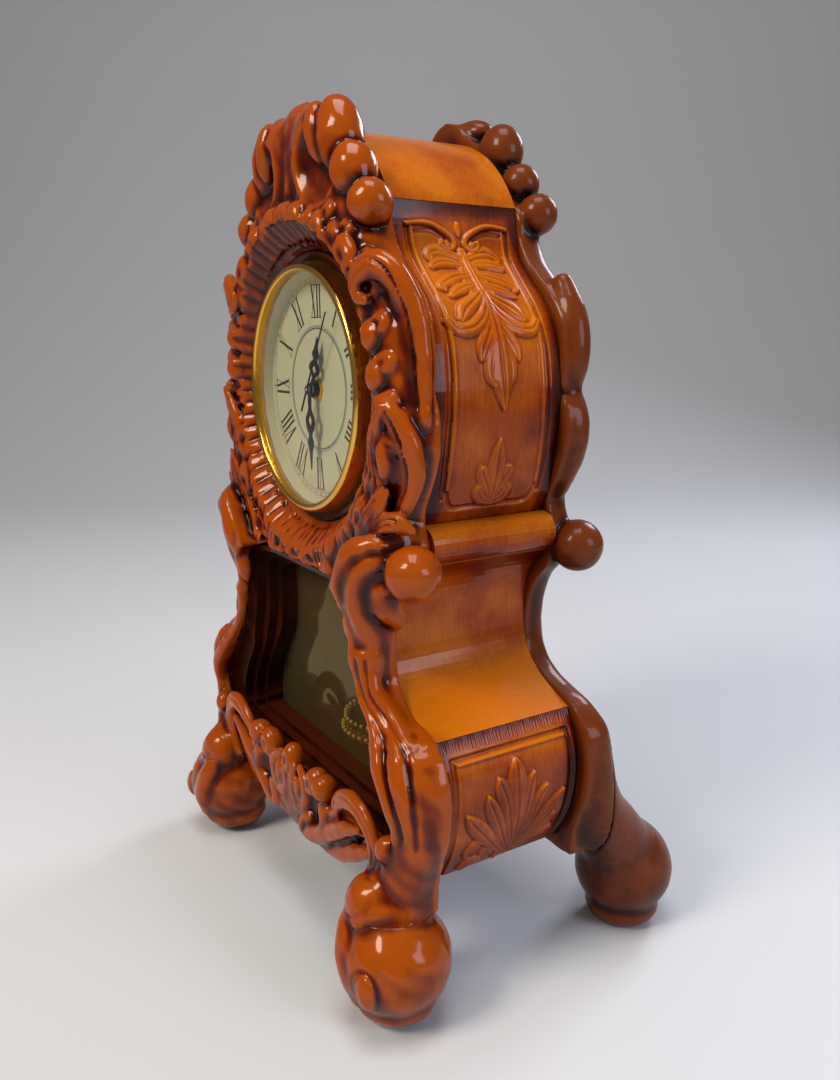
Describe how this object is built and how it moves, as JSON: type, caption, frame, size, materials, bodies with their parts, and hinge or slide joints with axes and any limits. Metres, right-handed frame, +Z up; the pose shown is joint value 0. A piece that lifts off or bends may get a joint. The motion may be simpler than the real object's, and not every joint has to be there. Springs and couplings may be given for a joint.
{
  "type": "mantel clock",
  "caption": "Carved wooden mantel clock with a round glazed dial in a shell ring, bombe sides, a lower window with a rotary pendulum, and ball feet.",
  "frame": {"origin": "on the floor, under the middle of the overall box", "axes": "+Z up, the dial faces -Y, +X to the right of someone facing the dial"},
  "size_m": [0.319, 0.238, 0.512],
  "materials": {
    "carved_wood": "glossy amber lacquer over carved hardwood",
    "rear_wood": "duller brown lacquer over carved hardwood",
    "side_wood": "satin amber lacquer, fine upright grain",
    "inner_wood": "dark brown stain",
    "polished_brass": "polished, lacquered",
    "clear_glass": "clear, polished",
    "tinted_glass": "bronze tint, polished",
    "silvered_plate": "brushed, champagne silver",
    "black_steel": "black paint",
    "black_plastic": "fine matte texture",
    "ivory_plastic": "smooth moulded",
    "steel": "plain",
    "copper_winding": "enamelled wire",
    "circuit_resin": "green solder mask",
    "battery_wrap": "plain unprinted film",
    "mirror_face": "silvered glass",
    "crystal_beads": "cut glass beads"
  },
  "bodies": {
    "case": {"front_frame": "carved_wood", "rear_frame": "rear_wood", "front_right_foot": "carved_wood", "front_left_foot": "carved_wood", "rear_right_foot": "rear_wood", "rear_left_foot": "rear_wood", "roof_panel": "side_wood", "upper_right_side": "side_wood", "upper_left_side": "side_wood", "right_waist_rail": "side_wood", "left_waist_rail": "side_wood", "right_waist_cove": "side_wood", "left_waist_cove": "side_wood", "lower_right_side": "side_wood", "lower_left_side": "side_wood", "bottom_board": "inner_wood", "inner_shelf": "inner_wood", "glue_blocks": "inner_wood", "window_frame": "inner_wood", "inner_moulding": "inner_wood", "outer_moulding": "inner_wood", "window_pane": "tinted_glass", "pane_clips": "inner_wood", "recess_ring": "inner_wood", "bezel": "polished_brass", "dial_glass": "clear_glass", "reflector_ring": "silvered_plate", "dial_plate": "silvered_plate", "stem_nut": "polished_brass", "movement_front_case": "black_plastic", "movement_back_case": "black_plastic", "circuit_board": "circuit_resin", "stator": "steel", "coil": "copper_winding", "battery": "battery_wrap", "battery_contacts": "steel", "pendulum_drive": "black_plastic", "frame_hinge_leaves": "polished_brass", "hinge_pins": "steel", "frame_hinge_screws": "polished_brass", "catch_screw": "polished_brass"},
    "hour": {"hour_hand": "black_steel", "hour_gear": "ivory_plastic"},
    "minute": {"minute_hand": "black_steel", "minute_gear": "ivory_plastic"},
    "motion": {"motion_gear": "ivory_plastic", "set_knob": "black_plastic"},
    "second": {"second_hand": "black_steel", "second_gear": "ivory_plastic"},
    "idler": {"idler_gear": "ivory_plastic"},
    "rotor_body": {"rotor": "ivory_plastic"},
    "pendulum": {"pendulum_rod": "polished_brass", "pendulum_drum": "polished_brass", "drum_mirror": "mirror_face", "drum_beads": "crystal_beads"},
    "door": {"back_door": "rear_wood", "door_knob": "polished_brass", "door_hinge_leaves": "polished_brass", "door_hinge_screws": "polished_brass"},
    "catch": {"turn_catch": "polished_brass"}
  },
  "joints": [
    {"name": "minute_spin", "type": "hinge", "parent": "case", "child": "minute", "pos_m": [0, -0.063, 0.3478], "axis": [0, 1, 0], "continuous": true},
    {"name": "hour_spin", "type": "hinge", "parent": "case", "child": "hour", "pos_m": [0, -0.063, 0.3478], "axis": [0, 1, 0], "continuous": true},
    {"name": "motion_spin", "type": "hinge", "parent": "case", "child": "motion", "pos_m": [0.012, -0.063, 0.3478], "axis": [0, 1, 0], "continuous": true},
    {"name": "second_spin", "type": "hinge", "parent": "case", "child": "second", "pos_m": [0, -0.063, 0.3478], "axis": [0, 1, 0], "continuous": true},
    {"name": "idler_spin", "type": "hinge", "parent": "case", "child": "idler", "pos_m": [0, -0.063, 0.3598], "axis": [0, 1, 0], "continuous": true},
    {"name": "rotor_spin", "type": "hinge", "parent": "case", "child": "rotor_body", "pos_m": [-0.0112, -0.063, 0.3598], "axis": [0, 1, 0], "continuous": true},
    {"name": "pendulum_turn", "type": "hinge", "parent": "case", "child": "pendulum", "pos_m": [0, -0.011, 0.18], "axis": [0, 0, 1], "range_deg": [-180, 180]},
    {"name": "door_swing", "type": "hinge", "parent": "case", "child": "door", "pos_m": [0.05, 0.0538, 0.267], "axis": [0, 0, -1], "range_deg": [0, 110]},
    {"name": "catch_turn", "type": "hinge", "parent": "case", "child": "catch", "pos_m": [-0.06, 0.052, 0.267], "axis": [0, 1, 0], "range_deg": [0, 90]}
  ],
  "couplings": [
    {"joint": "hour_spin", "follows": "minute_spin", "ratio": 0.083333},
    {"joint": "motion_spin", "follows": "minute_spin", "ratio": -0.33333},
    {"joint": "idler_spin", "follows": "second_spin", "ratio": -5},
    {"joint": "rotor_spin", "follows": "second_spin", "ratio": 30}
  ]
}
